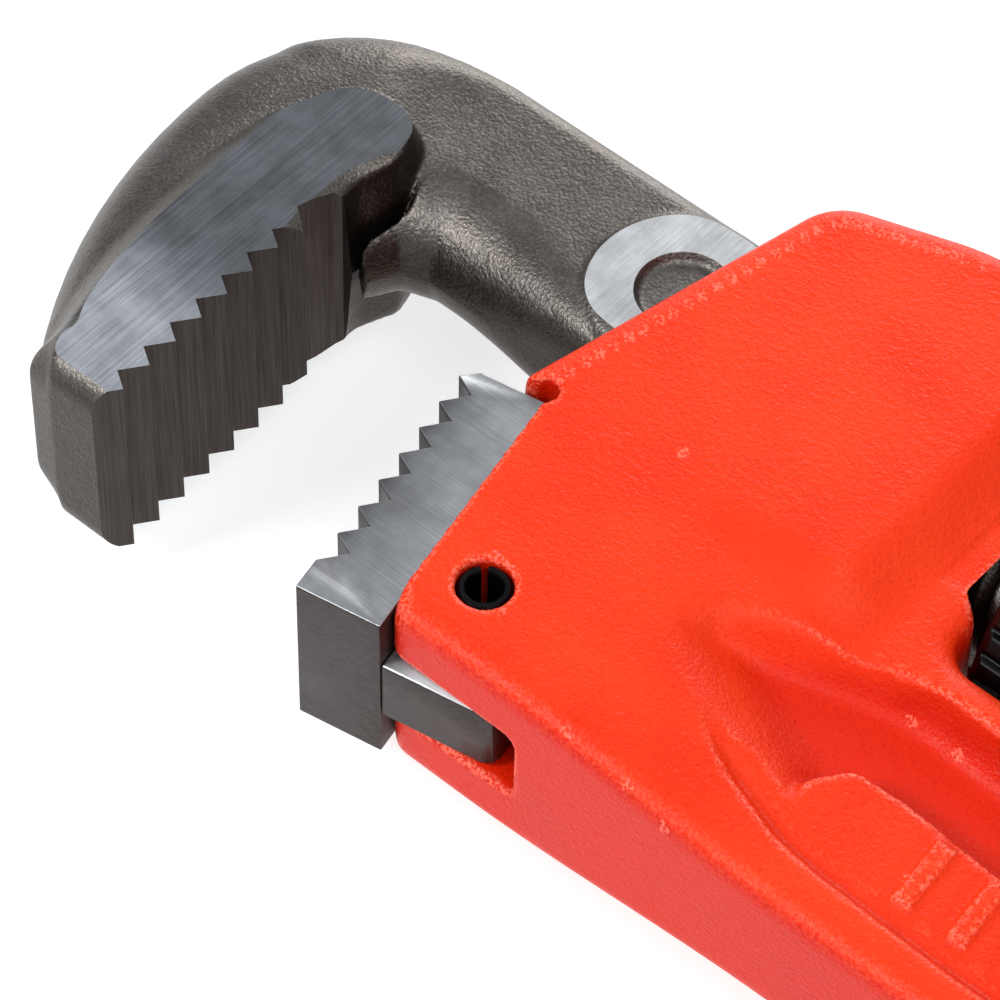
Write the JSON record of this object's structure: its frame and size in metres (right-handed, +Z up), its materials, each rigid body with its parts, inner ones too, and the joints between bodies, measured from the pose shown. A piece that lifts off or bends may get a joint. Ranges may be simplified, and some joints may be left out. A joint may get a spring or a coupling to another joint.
{
  "type": "pipe wrench",
  "caption": "Heavy-duty straight pipe wrench with a hooked upper jaw moved by a knurled nut, a pinned toothed heel jaw and a cast handle.",
  "frame": {"origin": "under the middle of the tool's box, at the height of its lowest point", "axes": "+X from the handle's end to the hook jaw, +Y to the side the mouth opens, +Z up off the surface the wrench lies on"},
  "size_m": [0.417, 0.0872, 0.038],
  "materials": {
    "enamel": "gloss",
    "forged_steel": "forged and shot-blasted, ground flats",
    "ground_steel": "ground",
    "black_steel": "black oxide",
    "nut_steel": "turned, lightly oiled",
    "spring_steel": "blued",
    "rivet_steel": "plain"
  },
  "bodies": {
    "handle": {"handle": "enamel", "heel_jaw": "ground_steel", "heel_jaw_pin": "black_steel", "spring_rivet": "rivet_steel"},
    "springs": {"flat_spring": "spring_steel", "coil_spring": "spring_steel"},
    "hook_jaw": {"hook_jaw": "forged_steel"},
    "knurled_nut": {"knurled_nut": "nut_steel"}
  },
  "joints": [
    {"name": "jaw_rock", "type": "hinge", "parent": "handle", "child": "springs", "pos_m": [0.08205, -0.01701, 0.01898], "axis": [0, 0, 1], "range_deg": [-2.5, 2.5], "stiffness_Nm_per_rad": 9, "deforming": ["flat_spring", "coil_spring"]},
    {"name": "jaw_slide", "type": "slide", "parent": "springs", "child": "hook_jaw", "axis": [1, 0, 0], "range_m": [-0.0235, 0.045]},
    {"name": "nut_spin", "type": "hinge", "parent": "springs", "child": "knurled_nut", "pos_m": [0.08205, -0.01701, 0.01898], "axis": [1, 0, 0], "range_deg": [-3300, 1750]}
  ],
  "couplings": [
    {"joint": "nut_spin", "follows": "jaw_slide", "rad_per_m": -1256.6}
  ]
}
